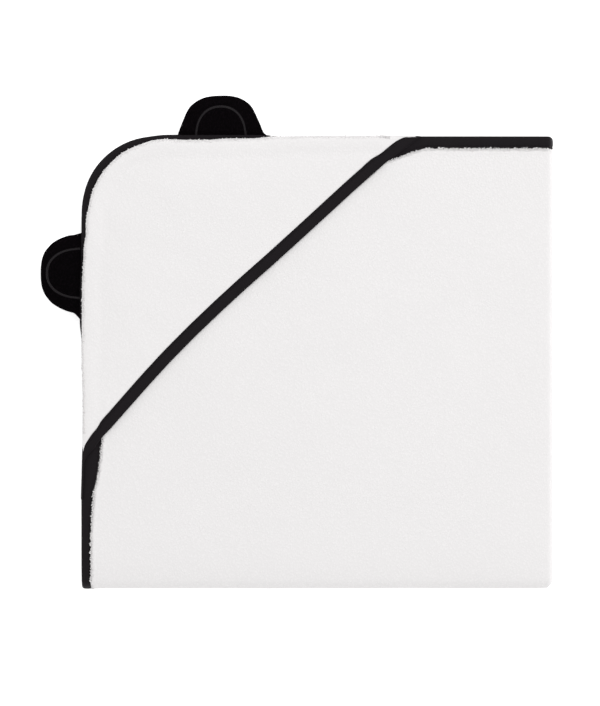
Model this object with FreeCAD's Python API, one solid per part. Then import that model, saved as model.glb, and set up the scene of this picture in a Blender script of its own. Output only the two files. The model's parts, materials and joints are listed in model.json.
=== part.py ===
import FreeCAD, Part
import math
import os

# Hooded baby towel, folded into quarters, hood corner uppermost at the back left.
# Millimetres. The folded square lies on the plane z = 0 with its centre over the
# origin, +X to the right, +Y towards the hood's straight top edge, +Z up.
# The stack holds four layers of terry: the lower pair is the lower half of the
# towel and the upper pair the upper half. The halves meet at the front fold.

V = FreeCAD.Vector

# ---- driving dimensions -------------------------------------------------------
fold_x = 383.0             # width of the folded towel
fold_y = 367.0             # depth of the folded towel
corner_r = 64.0            # rounded corners of the cloth
fold_corner_r = 5.0        # plan rounding where the two folds meet
fold_ease = 0.05           # that rounding stands clear of the folds' outer lines
terry_t = 3.6              # thickness of one layer of terry
layer_gap = 0.3            # air between two layers
upper_setback = 2.0        # the upper pair's side fold stands this far inside the lower's

binding_w = 9.5            # width of the edge binding on each face of the cloth
tape_t = 0.7               # thickness of the binding tape, on each face
stitch_inset = 1.6         # seam line from the binding's inner edge
stitch_w = 0.8             # width of a row of stitches
stitch_depth = 0.35        # how deep the thread lies in the tape

hood_t = 3.0               # thickness of the hood panel
hood_clear = 0.3           # air under the part of the hood that lifts
hood_inset = 1.0           # hood edge from the towel's straight edges
hood_corner_r = 72.0       # rounded corner of the hood panel
hood_leg_top = 275.0       # free edge meets the top edge this far from the corner
hood_leg_left = 262.0      # free edge meets the left edge this far from the corner
hood_bow = 9.2             # how far the free edge curves in towards the corner
hood_binding_w = 9.8       # width of the binding on the free edge
hood_seam_inset = 13.0     # seam that holds the hood to the towel, from its edge
hood_edge_fillet = 2.6     # rolled outer edge of the hood

ear_clear = 1.5            # ear pivot line from the towel's edge
ear_neck_r = 1.2           # half thickness of the ear's sewn base
ear_neck_len = 4.0         # length of the thin base
ear_half_t = 2.0           # half thickness of the padded ear
ear_taper_len = 2.5        # length over which the base thickens
ear_margin = 5.0           # flat margin round the wadding
wadding_half_t = 1.0       # half thickness of the wadding
ring_half_w = 20.0         # half width of the stitched ring on the ear's face
ring_height = 25.0         # height of the stitched ring above the towel's edge
ring_w = 1.2               # width of the stitched ring
ring_depth = 0.5           # depth of the ring's thread in the velour

top_ear = {"centre": 113.7, "half_w": 35.5, "height": 34.0}
left_ear = {"centre": 110.8, "half_w": 33.5, "height": 33.5}

ear_side_clear = 4.0       # hood's bend line from the ends of the ears
bend_gap = 0.3             # air at the hood's bend line

# ---- places worked out from them ----------------------------------------------
x_left = -fold_x / 2
x_right = fold_x / 2
y_front = -fold_y / 2
y_back = fold_y / 2
half_t = 2 * terry_t + layer_gap           # one folded pair
z_mid = half_t + layer_gap / 2             # plane between the pairs
z_top = 2 * z_mid                          # top of the folded stack
z_hood = z_top + hood_t + hood_clear       # top of the hood
y_turn = y_front + z_mid                   # where the front fold starts to turn
z_ear = z_top                              # middle plane of the ears
far = 2 * max(fold_x, fold_y)              # longer than anything here


def box(x0, x1, y0, y1, z0, z1):
    return Part.makeBox(x1 - x0, y1 - y0, z1 - z0, V(x0, y0, z0))


def face(edges):
    return Part.Face(Part.Wire(edges))


def line(a, b):
    return Part.makeLine(a, b)


def arc(a, through, b):
    return Part.Arc(a, through, b).toShape()


def write(name, shape):
    shape.exportStep("parts/" + name + ".step")


# ---- the folded cloth -----------------------------------------------------------
def plan(inset, radius, z0, z1, x_fold=None):
    """Plan of the cloth, inset at its two free edges, with the hood corner rounded.

    It runs on past the two folds, unless x_fold tells where the side fold lies: then
    it is rounded where the folds meet, and stands just clear of their outer lines.
    """
    runs_on = x_fold is None
    x0 = x_left + inset
    x1 = x_right + binding_w if runs_on else x_fold + fold_ease
    y0 = y_front - binding_w if runs_on else y_front - fold_ease
    y1 = y_back - inset
    s = radius * (1 - math.sqrt(0.5))
    edges = [
        line(V(x0, y0, z0), V(x0, y1 - radius, z0)),
        arc(V(x0, y1 - radius, z0), V(x0 + s, y1 - s, z0), V(x0 + radius, y1, z0)),
        line(V(x0 + radius, y1, z0), V(x1, y1, z0)),
    ]
    if runs_on:
        edges.append(line(V(x1, y1, z0), V(x1, y0, z0)))
        edges.append(line(V(x1, y0, z0), V(x0, y0, z0)))
    else:
        c = fold_corner_r
        t = c * (1 - math.sqrt(0.5))
        edges.append(line(V(x1, y1, z0), V(x1, y0 + c, z0)))
        edges.append(arc(V(x1, y0 + c, z0), V(x1 - t, y0 + t, z0), V(x1 - c, y0, z0)))
        edges.append(line(V(x1 - c, y0, z0), V(x0, y0, z0)))
    return face(edges).extrude(V(0, 0, z1 - z0))


def side_fold(inset, x1):
    """The pair of layers joined by the fold on the right, as one extruded U."""
    r_out = half_t / 2 - inset
    r_in = layer_gap / 2 + inset
    zc = half_t / 2
    xc = x1 - half_t / 2
    x0 = x_left - binding_w

    def at(x, z):
        return V(x, y_turn, z)

    edges = [
        line(at(x0, zc - r_out), at(xc, zc - r_out)),
        arc(at(xc, zc - r_out), at(xc + r_out, zc), at(xc, zc + r_out)),
        line(at(xc, zc + r_out), at(x0, zc + r_out)),
        line(at(x0, zc + r_out), at(x0, zc + r_in)),
        line(at(x0, zc + r_in), at(xc, zc + r_in)),
        arc(at(xc, zc + r_in), at(xc + r_in, zc), at(xc, zc - r_in)),
        line(at(xc, zc - r_in), at(x0, zc - r_in)),
        line(at(x0, zc - r_in), at(x0, zc - r_out)),
    ]
    return face(edges).extrude(V(0, fold_y + binding_w, 0))


def side_round(inset, x1):
    """The space left of the pair's side fold, closed by the round of that fold."""
    zc = half_t / 2
    xc = x1 - half_t / 2
    flat = box(x_left - binding_w, xc, y_front - binding_w, y_back, -half_t, z_top)
    end = Part.makeCylinder(half_t / 2 - inset, z_mid + binding_w, V(xc, y_turn, zc), V(0, -1, 0))
    return flat.fuse(end)


def front_turn(r_in, r_out, x1):
    """A layer's quarter turn at the front fold, up to the plane between the pairs."""
    z_end = z_mid - layer_gap / 2
    a_in = math.asin((z_mid - z_end) / r_in)
    a_out = math.asin((z_mid - z_end) / r_out)

    def at(r, a):
        return V(x_left - binding_w, y_turn - r * math.cos(a), z_mid - r * math.sin(a))

    edges = [
        arc(at(r_out, a_out), at(r_out, math.pi / 4), at(r_out, math.pi / 2)),
        line(at(r_out, math.pi / 2), at(r_in, math.pi / 2)),
        arc(at(r_in, math.pi / 2), at(r_in, math.pi / 4), at(r_in, a_in)),
        line(at(r_in, a_in), at(r_out, a_out)),
    ]
    return face(edges).extrude(V(x1 - x_left + binding_w, 0, 0))


def pair(inset, x1):
    """Two layers joined at the side fold, with their share of the front fold."""
    inner = front_turn(layer_gap + inset, layer_gap / 2 + terry_t - inset, x1)
    outer = front_turn(z_mid - terry_t + inset, z_mid - inset, x1)
    turns = inner.fuse(outer).common(side_round(inset, x1))
    return side_fold(inset, x1).fuse(turns)


def bound_cloth(x1):
    """The cloth, its edge binding and the stitches of one pair of layers."""
    whole = pair(0, x1).common(plan(0, corner_r, 0, half_t, x1))
    bare = plan(binding_w, corner_r - binding_w, 0, half_t)
    under_tape = pair(tape_t, x1).common(plan(tape_t, corner_r - tape_t, 0, half_t, x1))
    cloth = whole.common(bare).fuse(under_tape).removeSplitter()
    seam_in = binding_w - stitch_inset
    seam = plan(seam_in - stitch_w, corner_r - seam_in + stitch_w, 0, half_t)
    seam = seam.cut(plan(seam_in, corner_r - seam_in, 0, half_t))
    stitches = whole.common(seam).cut(pair(stitch_depth, x1))
    binding = whole.cut(cloth).cut(stitches)
    return cloth, binding, stitches


def turned_over(shape):
    """The same pair seen from above: mirrored in the plane between the pairs."""
    return shape.mirror(V(0, 0, z_mid), V(0, 0, 1))


# ---- the hood -------------------------------------------------------------------
corner = V(x_left, y_back, 0)
top_end = V(x_left + hood_leg_top, y_back, 0)
left_end = V(x_left, y_back - hood_leg_left, 0)
chord = top_end - left_end
bow_r = (chord.Length ** 2 / 4 + hood_bow ** 2) / (2 * hood_bow)
across = V(chord.y, -chord.x, 0).normalize()            # away from the hood's corner
bow_centre = (top_end + left_end) * 0.5 + across * (bow_r - hood_bow)
bend_along = V(1, 1, 0).normalize()
bend_out = V(1, -1, 0).normalize()
ear_reach = max(e["centre"] + e["half_w"] for e in (top_ear, left_ear))
bend_d = (ear_reach + ear_side_clear) / math.sqrt(2)    # bend line from the corner
bend_point = corner + bend_out * bend_d


def disc(radius, z0, z1):
    """Everything on the free side of the hood's bowed edge, out to a radius."""
    return Part.makeCylinder(radius, z1 - z0, V(bow_centre.x, bow_centre.y, z0))


def beyond_bend(offset, z0, z1):
    """The side of the bend line away from the hood's corner."""
    p = bend_point + bend_out * offset - bend_along * far + V(0, 0, z0)
    q = bend_point + bend_out * offset + bend_along * far + V(0, 0, z0)
    r = q + bend_out * far
    s = p + bend_out * far
    return face([line(p, q), line(q, r), line(r, s), line(s, p)]).extrude(V(0, 0, z1 - z0))


def hood_blank(z0, rolled):
    """The hood panel's plan between two heights, with its outer edge rolled."""
    blank = plan(hood_inset, hood_corner_r, z0, z_hood)
    if rolled:
        rim = []
        for e in blank.Edges:
            b = e.BoundBox
            on_edge = b.XMax < x_left + hood_inset + 0.01 or b.YMin > y_back - hood_inset - 0.01
            on_arc = e.Curve.TypeId == "Part::GeomCircle"
            if b.ZMin > z_hood - 0.01 and (on_edge or on_arc):
                rim.append(e)
        blank = blank.makeFillet(hood_edge_fillet, rim)
    return blank.cut(disc(bow_r, z0, z_hood))


def strip(inset, width, z0, z1):
    """A row that follows the hood's outer edge at an inset."""
    outer = plan(hood_inset + inset, hood_corner_r - inset, z0, z1)
    inner = plan(hood_inset + inset + width, hood_corner_r - inset - width, z0, z1)
    return outer.cut(inner)


def make_hood():
    blank = hood_blank(z_top, True)
    rear = blank.cut(beyond_bend(-bend_gap / 2, z_top, z_hood))
    front = blank.common(beyond_bend(bend_gap / 2, z_top + hood_clear, z_hood))

    # Free edge of the front: bare cloth, cloth pressed thin under tape, tape.
    z0 = z_top + hood_clear
    taped = disc(bow_r + hood_binding_w, z0, z_hood)
    core = front.common(box(-far, far, -far, far, z0 + tape_t, z_hood - tape_t))
    core = core.cut(disc(bow_r + tape_t, z0, z_hood))
    panel = front.cut(taped).fuse(core).removeSplitter()

    seam_r = bow_r + hood_binding_w - stitch_inset
    row = disc(seam_r, z_hood - stitch_depth, z_hood).cut(
        disc(seam_r - stitch_w, z_hood - stitch_depth, z_hood))
    row_under = disc(seam_r, z0, z0 + stitch_depth).cut(
        disc(seam_r - stitch_w, z0, z0 + stitch_depth))
    binding_stitches = front.common(row.fuse(row_under)).cut(panel)
    binding = front.cut(panel).cut(binding_stitches)

    # Seam that holds the rear of the hood to the towel.
    seam = strip(hood_seam_inset, stitch_w, z_hood - stitch_depth, z_hood)
    seam = seam.common(rear)
    rear = rear.cut(seam)
    return rear, panel, binding, binding_stitches, seam


# ---- the ears -------------------------------------------------------------------
def half_ellipse(half_w, height, z0, z1):
    """Half of an ellipse standing on the ear's pivot line, with its straight foot."""
    foot = box(-half_w, half_w, -ear_neck_r, 0, z0, z1)
    if half_w >= height:
        curve = Part.Ellipse(V(0, 0, z0), half_w, height)
        tip = curve.toShape(0, math.pi)
    else:
        curve = Part.Ellipse(V(0, height, z0), V(-half_w, 0, z0), V(0, 0, z0))
        tip = curve.toShape(-math.pi / 2, math.pi / 2)
    ends = [v.Point for v in tip.Vertexes]
    dome = face([tip, line(ends[1], ends[0])]).extrude(V(0, 0, z1 - z0))
    return dome.fuse(foot).removeSplitter()


def ear_profile(half_w, height):
    """Upper half of the ear's thickness: a round foot, a thin neck, a padded body."""
    r = ear_neck_r
    s = r * math.sqrt(0.5)
    u1 = ear_neck_len
    u2 = ear_neck_len + ear_taper_len

    def at(u, z):
        return V(-half_w, u, z)

    edges = [
        arc(at(-r, 0), at(-s, s), at(0, r)),
        line(at(0, r), at(u1, r)),
        line(at(u1, r), at(u2, ear_half_t)),
        line(at(u2, ear_half_t), at(height, ear_half_t)),
        line(at(height, ear_half_t), at(height, 0)),
        line(at(height, 0), at(-r, 0)),
    ]
    return face(edges).extrude(V(2 * half_w, 0, 0))


def make_ear(ear):
    """Front, back, wadding and ring of an ear that points along +Y from its pivot."""
    half_w = ear["half_w"]
    height = ear["height"] - ear_clear
    outline = half_ellipse(half_w, height, 0, ear_half_t)
    front = ear_profile(half_w, height).common(outline)
    back = front.mirror(V(0, 0, 0), V(0, 0, 1))

    pad_start = ear_neck_len + ear_taper_len
    wadding = half_ellipse(half_w - ear_margin, height - ear_margin, -wadding_half_t, wadding_half_t)
    wadding = wadding.common(box(-half_w, half_w, pad_start, height, -wadding_half_t, wadding_half_t))
    front = front.cut(wadding)
    back = back.cut(wadding)

    z1 = ear_half_t
    z0 = z1 - ring_depth
    ring = half_ellipse(ring_half_w, ring_height - ear_clear, z0, z1)
    ring = ring.cut(half_ellipse(ring_half_w - ring_w, ring_height - ear_clear - ring_w, z0, z1))
    ring = ring.common(box(-half_w, half_w, pad_start, height, z0, z1))
    front = front.cut(ring)
    return {"front": front, "back": back, "wadding": wadding, "ring_stitching": ring}


def place_ear(shape, where, turn):
    placed = shape.copy()
    placed.rotate(V(0, 0, 0), V(0, 0, 1), turn)
    placed.translate(where)
    return placed


# ---- write the pieces -----------------------------------------------------------
os.makedirs("parts", exist_ok=True)

lower = bound_cloth(x_right)
upper = [turned_over(s) for s in bound_cloth(x_right - upper_setback)]
for name, low, up in zip(("towel", "edge_binding", "edge_stitching"), lower, upper):
    write(name + "_lower", low)
    write(name + "_upper", up)

hood = make_hood()
hood_names = (
    "hood_panel_rear",
    "hood_panel_front",
    "hood_binding",
    "hood_binding_stitching",
    "hood_seam_stitching",
)
for name, shape in zip(hood_names, hood):
    write(name, shape)

top_place = V(x_left + top_ear["centre"], y_back + ear_clear, z_ear)
left_place = V(x_left - ear_clear, y_back - left_ear["centre"], z_ear)
for side, ear, where, turn in (("top", top_ear, top_place, 0), ("left", left_ear, left_place, 90)):
    for piece, shape in make_ear(ear).items():
        write(side + "_ear_" + piece, place_ear(shape, where, turn))
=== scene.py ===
import json
import math

import bmesh
import bpy
import numpy as np
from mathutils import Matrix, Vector


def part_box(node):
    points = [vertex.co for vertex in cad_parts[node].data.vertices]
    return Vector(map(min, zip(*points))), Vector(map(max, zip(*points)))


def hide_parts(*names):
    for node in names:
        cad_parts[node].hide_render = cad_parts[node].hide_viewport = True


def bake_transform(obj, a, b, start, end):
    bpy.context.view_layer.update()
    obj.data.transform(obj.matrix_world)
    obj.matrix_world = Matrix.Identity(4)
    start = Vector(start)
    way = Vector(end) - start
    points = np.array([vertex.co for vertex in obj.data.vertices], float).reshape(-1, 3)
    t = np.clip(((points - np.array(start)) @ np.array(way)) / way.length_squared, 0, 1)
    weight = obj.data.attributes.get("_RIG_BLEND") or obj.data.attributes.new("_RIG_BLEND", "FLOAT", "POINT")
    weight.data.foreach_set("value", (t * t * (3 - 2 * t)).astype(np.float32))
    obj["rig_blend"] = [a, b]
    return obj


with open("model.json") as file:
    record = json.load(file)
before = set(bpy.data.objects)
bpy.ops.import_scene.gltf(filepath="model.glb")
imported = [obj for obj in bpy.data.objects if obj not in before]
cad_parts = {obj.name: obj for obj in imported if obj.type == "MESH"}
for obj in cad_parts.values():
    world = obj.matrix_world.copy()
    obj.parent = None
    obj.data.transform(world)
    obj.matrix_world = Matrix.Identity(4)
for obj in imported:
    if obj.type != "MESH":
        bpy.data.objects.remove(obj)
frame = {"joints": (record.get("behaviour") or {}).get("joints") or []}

bl_info = {
    "name": "Hooded Baby Towel",
    "version": (1, 0, 0),
    "blender": (4, 5, 0),
    "location": "3D View > Sidebar > Towel",
    "description": "Builds a folded terry towel with a hood, bound edges and two ears",
    "category": "Object",
}

MM = 0.001
ROOT_2 = math.sqrt(2)
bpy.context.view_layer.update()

# Places taken from the frame. The lower pair of layers lies under the upper pair.
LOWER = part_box("edge_binding_lower")
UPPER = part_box("edge_binding_upper")
X_LEFT, Y_FRONT = LOWER[0].x, LOWER[0].y
X_FOLD_LOWER, Y_BACK = LOWER[1].x, LOWER[1].y
X_FOLD_UPPER = UPPER[1].x
PAIR = LOWER[1].z
GAP = UPPER[0].z - LOWER[1].z
TERRY = (PAIR - GAP) / 2
Z_MID = PAIR + GAP / 2
Z_TOP = UPPER[1].z
HOOD_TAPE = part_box("hood_binding")
HINGES = {joint["name"]: joint for joint in frame["joints"]}

OPENING_REACH = 1.6         # cloth that shares a fold's turn, against the bend's own
TAPE_WIDTH = 9.6 * MM       # the binding's, where nothing covers or pulls it
SQUASHED_SHUT = 1e-7        # points nearer than this are one point
THREAD = 0.42 * MM          # thickness of the seams' thread
STITCH_SHARE = 0.85         # how much of a stitch's length shows as thread
SUNK = 0.12 * MM            # how far the seams' thread lies in the tape
YARN = 0.6 * MM             # thickness of a terry loop's yarn


# ---- sizes and colours a user would change -------------------------------------------
def length(name, text, value):
    """A property that holds a length in metres."""
    return bpy.props.FloatProperty(
        name=name, description=text, default=value, min=0.0, subtype="DISTANCE", unit="LENGTH")


def colour(name, text, value):
    """A property that holds a colour, linear red, green and blue."""
    return bpy.props.FloatVectorProperty(
        name=name, description=text, default=value, size=3, min=0.0, max=1.0, subtype="COLOR")


class TowelSizes(bpy.types.PropertyGroup):
    corner: length("Corner radius", "Rounded corners of the towel", 61 * MM)
    tape_width: length("Tape width", "Binding seen on each face of the cloth", TAPE_WIDTH)
    tape: length("Tape thickness", "Thickness of the binding tape", 0.7 * MM)
    seam_inset: length("Seam inset", "Stitches from the tape's inner edge", 1.6 * MM)
    stitch: length("Stitch length", "Length of one stitch", 3.0 * MM)
    hood_corner: length("Hood corner", "Rounded corner of the hood panel", 65 * MM)
    hood_thick: length("Hood thickness", "Thickness of the hood's terry", 3.2 * MM)
    hood_bow: length("Hood bow", "How far the free edge curves towards the corner", 8.8 * MM)
    hood_tape: length("Hood tape width", "Width of the tape on the hood's free edge", 9.8 * MM)
    allowance: length("Seam allowance", "Cloth turned under along the hood's edge", 13 * MM)
    loop: length("Loop height", "Height of the terry loops along the seams", 1.5 * MM)
    ear_puff: length("Ear padding", "Half thickness of an ear at its fullest", 2.5 * MM)
    ring_width: length("Ring half width", "Half width of the stitched ring on an ear", 20 * MM)
    ring_height: length("Ring height", "Height of the stitched ring on an ear", 25 * MM)


class TowelColours(bpy.types.PropertyGroup):
    terry: colour("Terry", "Colour of the terry cloth", (0.83, 0.815, 0.815))
    tape: colour("Binding", "Colour of the binding tape", (0.0062, 0.0045, 0.0058))
    velour: colour("Velour", "Colour of the ears", (0.0048, 0.0029, 0.0043))
    ring: colour("Ear ring", "Colour of the ring stitched on the ears", (0.013, 0.010, 0.012))
    thread: colour("Thread", "Colour of the seams in the binding", (0.012, 0.009, 0.011))
    wadding: colour("Wadding", "Colour of the fibre in the ears", (0.75, 0.74, 0.72))
    white_thread: colour("White thread", "Colour of the seam in the hood", (0.86, 0.85, 0.85))
    floor: colour("Floor", "Colour of the backdrop", (0.95, 0.95, 0.95))


# ---- smooth functions ----------------------------------------------------------------
def ease(value, low, high):
    """0 below low, 1 above high, smooth between."""
    t = np.clip((value - low) / (high - low), 0.0, 1.0)
    return t * t * (3 - 2 * t)


def bump(value, centre, width):
    """1 at the centre, falling smoothly to nothing a few widths away."""
    return np.exp(-((value - centre) / width) ** 2)


def travel(line):
    """Distance along a line of points, at each of them."""
    steps = np.linalg.norm(np.diff(line, axis=0), axis=1)
    return np.concatenate([[0], np.cumsum(steps)])


def smooth_through(at, values, fine):
    """A curve through the values with no sharp turns, sampled at the fine places."""
    slopes = np.gradient(values, at)
    k = np.clip(np.searchsorted(at, fine, side="right") - 1, 0, len(at) - 2)
    h = at[k + 1] - at[k]
    u = (fine - at[k]) / h
    return ((1 + 2 * u) * (1 - u) ** 2 * values[k] + u * (1 - u) ** 2 * h * slopes[k]
            + u * u * (3 - 2 * u) * values[k + 1] + u * u * (u - 1) * h * slopes[k + 1])


def waves(x, y, size, seed):
    """A smooth uneven field from -1 to 1, whose lumps are about size across."""
    total = 0.0
    for k in range(5):
        turn = seed * 1.7 + k * 2.4
        pitch = (1.0 + 0.37 * k) * 2 * math.pi / (2.2 * size)
        run = x * math.cos(turn) + y * math.sin(turn)
        total = total + np.sin(run * pitch + seed * 3.1 + k * 1.9)
    return total / 5


# ---- the folded cloth ----------------------------------------------------------------
# Visible width of the towel's tape, in mm, against the distance from the hood's
# corner, along the back and along the left side.
BACK_TAPE = ([0, 225, 240, 248, 254, 260, 266.5, 273, 280, 400],
             [9.6, 9.6, 18, 20.5, 19, 16.6, 14.0, 12.0, 10.3, 10.3])
LEFT_TAPE = ([0, 215, 236, 243, 249, 259, 269, 279, 288, 298, 308, 318, 400],
             [9.6, 8.5, 16, 16.8, 16.2, 15.4, 14.4, 12.7, 10.4, 9.5, 9.0, 8.0, 7.7])


def width_along(table, place):
    """Visible width of the tape at a place along the side that the table is for."""
    return np.interp(place / MM, *table) * MM


class FoldedCloth:
    """Turns a place on the flat towel into its place in the folded stack.

    s runs across the side fold and t across the front fold, both from the fold, in
    metres of cloth: s < 0 and t > 0 is the quarter that lies on top. n is the height
    over the cloth's middle, on its outer side.
    """

    def __init__(self, sizes):
        self.radius = sizes.corner
        self.side_r = (TERRY + GAP) / 2
        self.side_half = math.pi * self.side_r / 2
        self.front_r = (PAIR + GAP) / 2
        self.front_half = math.pi * self.front_r / 2
        self.x_turn = X_FOLD_LOWER - PAIR / 2
        self.y_turn = Y_FRONT + Z_MID
        self.half_width = self.x_turn - X_LEFT + self.side_half
        self.half_length = Y_BACK - self.y_turn + self.front_half

    def rounded(self, s, t):
        """Draws the corners of a square grid in to the towel's rounded corners."""
        a = np.abs(s) - (self.half_width - self.radius)
        b = np.abs(t) - (self.half_length - self.radius)
        inside = (a > 0) & (b > 0)
        shrink = np.where(inside, np.maximum(a, b) / np.maximum(np.hypot(a, b), 1e-9), 1.0)
        s2 = np.sign(s) * (self.half_width - self.radius + a * shrink)
        t2 = np.sign(t) * (self.half_length - self.radius + b * shrink)
        return np.where(inside, s2, s), np.where(inside, t2, t)

    def edge_distance(self, s, t):
        """How far a place lies inside the towel's bound edge."""
        a = np.abs(s) - (self.half_width - self.radius)
        b = np.abs(t) - (self.half_length - self.radius)
        around = self.radius - np.hypot(np.maximum(a, 0), np.maximum(b, 0))
        straight = self.radius - np.maximum(a, b)
        return np.where((a > 0) & (b > 0), around, straight)

    def tape_reach(self, s, t):
        """Width of the tape on the upper face of the top quarter.

        It is a little wider along the back than along the left, and widest where it
        comes out from under the ends of the hood's binding.
        """
        x, y = self.half_width - np.abs(s), self.half_length - np.abs(t)
        back, left = width_along(BACK_TAPE, x), width_along(LEFT_TAPE, y)
        on_top = (s < 0) & (t > 0)
        return np.where(on_top, np.where(y < x, back, left), TAPE_WIDTH)

    def follow_tape(self, s, t):
        """Moves the fine lines of a square grid to where the tape's inner edge runs."""
        x, y = self.half_width - np.abs(s), self.half_length - np.abs(t)
        on_top = (s < 0) & (t > 0)
        far = 60 * MM
        back, left = width_along(BACK_TAPE, x), width_along(LEFT_TAPE, y)

        def moved(inset, reach):
            near = inset * reach / TAPE_WIDTH
            off = reach + (inset - TAPE_WIDTH) * (far - reach) / (far - TAPE_WIDTH)
            return np.where(inset < TAPE_WIDTH, near, np.where(inset < far, off, inset))

        x2 = np.where(on_top & (x < far) & (y > far), moved(x, left), x)
        y2 = np.where(on_top & (y < far) & (x > far), moved(y, back), y)
        return np.sign(s) * (self.half_width - x2), np.sign(t) * (self.half_length - y2)

    def place(self, s, t, n):
        """Where a place on the flat towel comes to lie, as x, y and z."""
        s, t, n = np.broadcast_arrays(np.asarray(s, float), t, n)
        upper = ease(t, -self.front_half, self.front_half)
        x_turn = self.x_turn + (X_FOLD_UPPER - X_FOLD_LOWER) * upper
        alpha = np.clip(s / self.side_r, -math.pi / 2, math.pi / 2)
        reach = self.side_r + n
        along = np.abs(s) - self.side_half
        stretch = (x_turn - X_LEFT) / (self.x_turn - X_LEFT)
        x = np.where(along > 0, x_turn - along * stretch, x_turn + reach * np.cos(alpha))
        rho = self.front_r - reach * np.sin(alpha)
        beta = np.clip(t / self.front_r, -math.pi / 2, math.pi / 2)
        along = np.abs(t) - self.front_half
        y = np.where(along > 0, self.y_turn + along, self.y_turn - rho * np.cos(beta))
        z = Z_MID + rho * np.sin(beta)
        return settle(np.stack([x, y, z], -1))

    def opening(self, t):
        """Share of the front fold's turn that a place follows: 0 lower half, 1 upper."""
        reach = OPENING_REACH * self.front_half
        return ease(t, -reach, reach)


def settle(points):
    """The uneven lie of the whole stack, the same for every piece in it.

    The folds are pressed a little thinner than the middle, the faces swell and dip,
    and the edges wander by a millimetre or so. Heights are scaled, so that the bottom
    stays on the floor and the layers stay clear of each other.
    """
    x, y, z = points[..., 0], points[..., 1], points[..., 2]
    front = np.maximum(y - Y_FRONT, 0)
    side = np.maximum(X_FOLD_LOWER - x, 0)
    left = np.maximum(x - X_LEFT, 0)
    press = 0.31 * np.exp(-front / (11.5 * MM)) + 0.10 * np.exp(-side / (5 * MM))
    swell = 0.030 * waves(x, y, 75 * MM, 1.0) + 0.010 * waves(x, y, 28 * MM, 2.0)
    z2 = np.maximum(z * (1 - press + swell), 0)
    waist = 1.7 * MM * bump(y, Y_BACK - 222 * MM, 34 * MM) * np.exp(-left / (45 * MM))
    waist = waist + 0.4 * MM * bump(y, Y_BACK - 50 * MM, 16 * MM) * np.exp(-left / (30 * MM))
    # The ears' seams push the edge out a little on either side of each ear.
    down, along, back = Y_BACK - y, x - X_LEFT, np.maximum(Y_BACK - y, 0)
    out_left = ease(down, 100 * MM, 125 * MM) * (1 - ease(down, 150 * MM, 166 * MM))
    out_back = ease(along, 52 * MM, 70 * MM) * (1 - ease(along, 146 * MM, 160 * MM))
    waist = waist - 1.3 * MM * out_left * np.exp(-left / (12 * MM))
    swell_back = 1.3 * MM * out_back * np.exp(-back / (12 * MM))
    wander = 0.5 * MM * waves(y, y * 0, 55 * MM, 3.0) * np.exp(-side / (30 * MM))
    dip = 0.4 * MM * waves(x, x * 0, 60 * MM, 4.0) * np.exp(-front / (30 * MM))
    corner_x = np.clip(1 - side / (5 * MM), 0, 1)
    corner_y = np.clip(1 - front / (5 * MM), 0, 1)
    round_off = 1.6 * MM * corner_x * corner_y
    x2 = x + waist + wander - round_off
    y2 = y + dip + round_off + swell_back
    return np.stack([x2, y2, z2], -1)


def make_mesh(name, vertices, faces, uv=None, follow=None):
    """A new object from arrays of points and faces, its faces turned outwards."""
    mesh = bpy.data.meshes.new(name)
    points = np.asarray(vertices).reshape(-1, 3).tolist()
    mesh.from_pydata(points, [], [list(map(int, f)) for f in faces])
    if uv is not None:
        layer = mesh.uv_layers.new(name="cloth")
        corners = np.zeros(len(mesh.loops), np.int32)
        mesh.loops.foreach_get("vertex_index", corners)
        layer.data.foreach_set("uv", np.asarray(uv, np.float32).reshape(-1, 2)[corners].ravel())
    if follow is not None:
        layer = mesh.attributes.new("follow", "FLOAT", "POINT")
        layer.data.foreach_set("value", np.asarray(follow, np.float32).ravel())
    mesh.polygons.foreach_set("use_smooth", np.full(len(mesh.polygons), True))
    work = bmesh.new()
    work.from_mesh(mesh)
    bmesh.ops.remove_doubles(work, verts=work.verts, dist=SQUASHED_SHUT)
    bmesh.ops.recalc_face_normals(work, faces=work.faces)
    work.to_mesh(mesh)
    work.free()
    piece = bpy.data.objects.new(name, mesh)
    bpy.context.scene.collection.objects.link(piece)
    return piece


def grid_quads(rows, columns, first=0, wrap_rows=False, wrap_columns=False):
    """Quads of a grid of points numbered row by row."""
    r = np.arange(rows if wrap_rows else rows - 1)
    c = np.arange(columns if wrap_columns else columns - 1)
    r, c = np.meshgrid(r, c, indexing="ij")
    r2, c2 = (r + 1) % rows, (c + 1) % columns
    quads = np.stack([r * columns + c, r * columns + c2, r2 * columns + c2, r2 * columns + c], -1)
    return quads.reshape(-1, 4) + first


def sheet_faces(rows, columns):
    """Top, underside and rim of a sheet: two grids of points, the top one first."""
    count = rows * columns
    top = grid_quads(rows, columns)
    under = grid_quads(rows, columns, count)[:, ::-1]
    index = np.arange(count).reshape(rows, columns)
    rim = np.concatenate([index[0, :-1], index[:-1, -1], index[-1, :0:-1], index[:0:-1, 0]])
    around = np.roll(rim, -1)
    side = np.stack([rim, around, around + count, rim + count], -1)
    return np.concatenate([top, under, side])


def mix_lines(*spans):
    """Grid lines from spans of (start, end, number of steps), each start inclusive."""
    lines = [np.linspace(a, b, n, endpoint=False) for a, b, n in spans]
    return np.concatenate(lines + [[spans[-1][1]]])


def weigh(piece, shares):
    """Sets how far each point follows the second of the two bodies it is blended over."""
    layer = piece.data.attributes["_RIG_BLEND"]
    layer.data.foreach_set("value", np.asarray(shares, np.float32).ravel())


def blend_over_fold(piece, opening):
    """Bends a piece across the front fold, by the cloth's own length through the turn."""
    centre, up = Vector((0, Y_FRONT, Z_MID)), Vector((0, 0, MM))
    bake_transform(piece, "lower_half", "upper_half", centre - up, centre + up)
    weigh(piece, opening)


def points_of(mesh):
    """A mesh's points, as an array."""
    flat = np.zeros(len(mesh.vertices) * 3)
    mesh.vertices.foreach_get("co", flat)
    return flat.reshape(-1, 3)


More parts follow.
